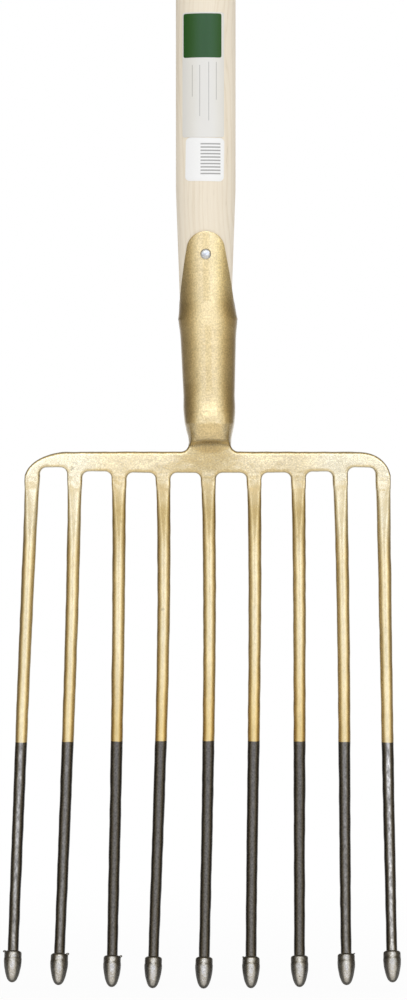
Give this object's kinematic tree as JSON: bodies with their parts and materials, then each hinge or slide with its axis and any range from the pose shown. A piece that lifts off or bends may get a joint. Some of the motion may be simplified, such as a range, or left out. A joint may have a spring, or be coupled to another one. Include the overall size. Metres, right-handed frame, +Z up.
{
  "type": "potato fork",
  "caption": "Long-handled potato fork: a dished steel head of slender tines with blunt knobbed tips, a rolled socket, and an ash handle with a split D grip.",
  "frame": {"origin": "the flat at the tip of the middle tine's knob, where the fork stands on the ground", "axes": "+Z up along the handle towards the D grip, +X to the right seen from the hollow side, +Y towards the back; the hollow side of the tines faces -Y"},
  "size_m": [0.2633, 0.0768, 1.0928],
  "materials": {
    "head_paint": "satin pale gold enamel over forged steel",
    "tine_steel": "pale gold enamel above, dark grey lacquer over bare steel below",
    "knob_steel": "rough satin steel",
    "fastener": "bright zinc plated",
    "handle_ash": "sanded pale ash, lightly waxed",
    "label_film": "thin glossy film",
    "sticker_paper": "matt white paper"
  },
  "bodies": {
    "root": {"fork_head": "head_paint", "tine_1": "tine_steel", "tine_2": "tine_steel", "tine_3": "tine_steel", "tine_4": "tine_steel", "tine_5": "tine_steel", "tine_6": "tine_steel", "tine_7": "tine_steel", "tine_8": "tine_steel", "tine_9": "tine_steel", "tip_knob_1": "knob_steel", "tip_knob_2": "knob_steel", "tip_knob_3": "knob_steel", "tip_knob_4": "knob_steel", "tip_knob_5": "knob_steel", "tip_knob_6": "knob_steel", "tip_knob_7": "knob_steel", "tip_knob_8": "knob_steel", "tip_knob_9": "knob_steel", "socket_rivet": "fastener", "socket_rivet_washer": "fastener", "handle_shaft": "handle_ash", "grip_bar": "handle_ash", "grip_rivet": "fastener", "grip_washer_left": "fastener", "grip_washer_right": "fastener", "throat_rivet": "fastener", "throat_washer_left": "fastener", "throat_washer_right": "fastener", "handle_label": "label_film", "price_sticker": "sticker_paper"}
  },
  "joints": []
}
